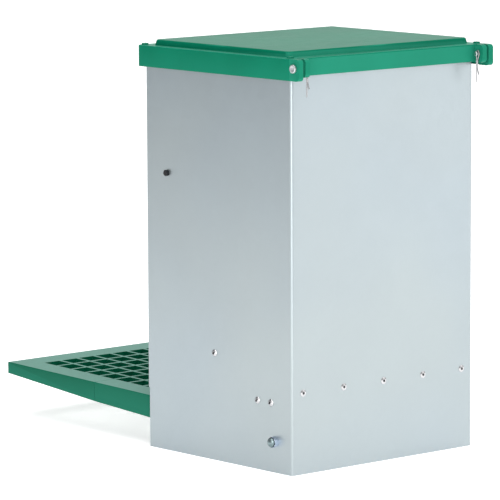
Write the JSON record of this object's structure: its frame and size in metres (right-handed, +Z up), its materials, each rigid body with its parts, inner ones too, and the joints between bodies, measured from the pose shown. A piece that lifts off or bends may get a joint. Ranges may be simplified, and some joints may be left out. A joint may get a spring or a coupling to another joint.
{
  "type": "gravity poultry feeder",
  "caption": "Treadle-operated gravity feeder for poultry: steel hopper housing with a hinged plastic lid, a grid treadle and a linked feed flap.",
  "frame": {"origin": "on the ground, under the middle of the whole feeder's bounding box", "axes": "+Z up; the treadle points to -Y and the lid's hinge is at +Y; +X is the feeder's right side, seen from the treadle looking at the flap"},
  "size_m": [0.2722, 0.4894, 0.4243],
  "materials": {
    "galvanised_steel": "satin galvanised sheet",
    "green_plastic": "moulded green plastic, semi-gloss",
    "zinc_hardware": "bright zinc plated",
    "nut_plating": "bluish zinc plated",
    "rivet_metal": "bright",
    "spring_wire": "drawn spring wire",
    "black_plastic": "black moulded cap"
  },
  "bodies": {
    "housing": {"housing_shell": "galvanised_steel", "front_panel": "galvanised_steel", "hopper_floor": "galvanised_steel", "hopper_baffle": "galvanised_steel", "feed_trough": "galvanised_steel", "back_rivets": "rivet_metal", "hinge_bracket_rivets": "rivet_metal", "side_rivets_left": "rivet_metal", "side_rivets_right": "rivet_metal", "hinge_bracket_left": "zinc_hardware", "hinge_bracket_right": "zinc_hardware", "hinge_pin_left": "zinc_hardware", "hinge_pin_right": "zinc_hardware", "hinge_clip_left": "spring_wire", "hinge_clip_right": "spring_wire", "pivot_bolt_left": "zinc_hardware", "pivot_bolt_right": "zinc_hardware", "pivot_nut_left": "nut_plating", "pivot_nut_right": "nut_plating", "pivot_spacer_left": "zinc_hardware", "pivot_spacer_right": "zinc_hardware", "flap_stud_left": "black_plastic", "flap_stud_right": "black_plastic", "spring_bracket_left": "galvanised_steel", "spring_bracket_right": "galvanised_steel", "return_spring_left": "spring_wire", "return_spring_right": "spring_wire"},
    "lid": {"lid": "green_plastic"},
    "treadle": {"treadle_front": "green_plastic", "treadle_rear": "green_plastic", "treadle_screws": "zinc_hardware", "treadle_arm_left": "galvanised_steel", "treadle_arm_right": "galvanised_steel", "link_pin_left": "zinc_hardware", "link_pin_right": "zinc_hardware"},
    "flap": {"flap_door": "galvanised_steel", "crank_pin_left": "zinc_hardware", "crank_pin_right": "zinc_hardware"},
    "link_left": {"link_rod_left": "zinc_hardware"},
    "link_right": {"link_rod_right": "zinc_hardware"}
  },
  "joints": [
    {"name": "lid_hinge", "type": "hinge", "parent": "housing", "child": "lid", "pos_m": [0, 0.23765, 0.409], "axis": [-1, 0, 0], "range_deg": [0, 108]},
    {"name": "treadle_hinge", "type": "hinge", "parent": "housing", "child": "treadle", "pos_m": [0, 0.19825, 0.0315], "axis": [1, 0, 0], "range_deg": [0, 3.07], "stiffness_Nm_per_rad": 24, "springref_deg": -6.88, "deforming": ["return_spring_left", "return_spring_right"]},
    {"name": "flap_hinge", "type": "hinge", "parent": "housing", "child": "flap", "pos_m": [0, 0.03265, 0.2885], "axis": [1, 0, 0], "range_deg": [0, 22.05]},
    {"name": "link_pivot_left", "type": "hinge", "parent": "treadle", "child": "link_left", "pos_m": [-0.119, 0.00615, 0.03972], "axis": [1, 0, 0], "range_deg": [-3.12, 0]},
    {"name": "link_pivot_right", "type": "hinge", "parent": "treadle", "child": "link_right", "pos_m": [0.119, 0.00615, 0.03972], "axis": [1, 0, 0], "range_deg": [-3.12, 0]}
  ],
  "couplings": [
    {"joint": "flap_hinge", "follows": "treadle_hinge", "ratio": 7.1636},
    {"joint": "link_pivot_left", "follows": "treadle_hinge", "ratio": -1},
    {"joint": "link_pivot_right", "follows": "treadle_hinge", "ratio": -1}
  ]
}
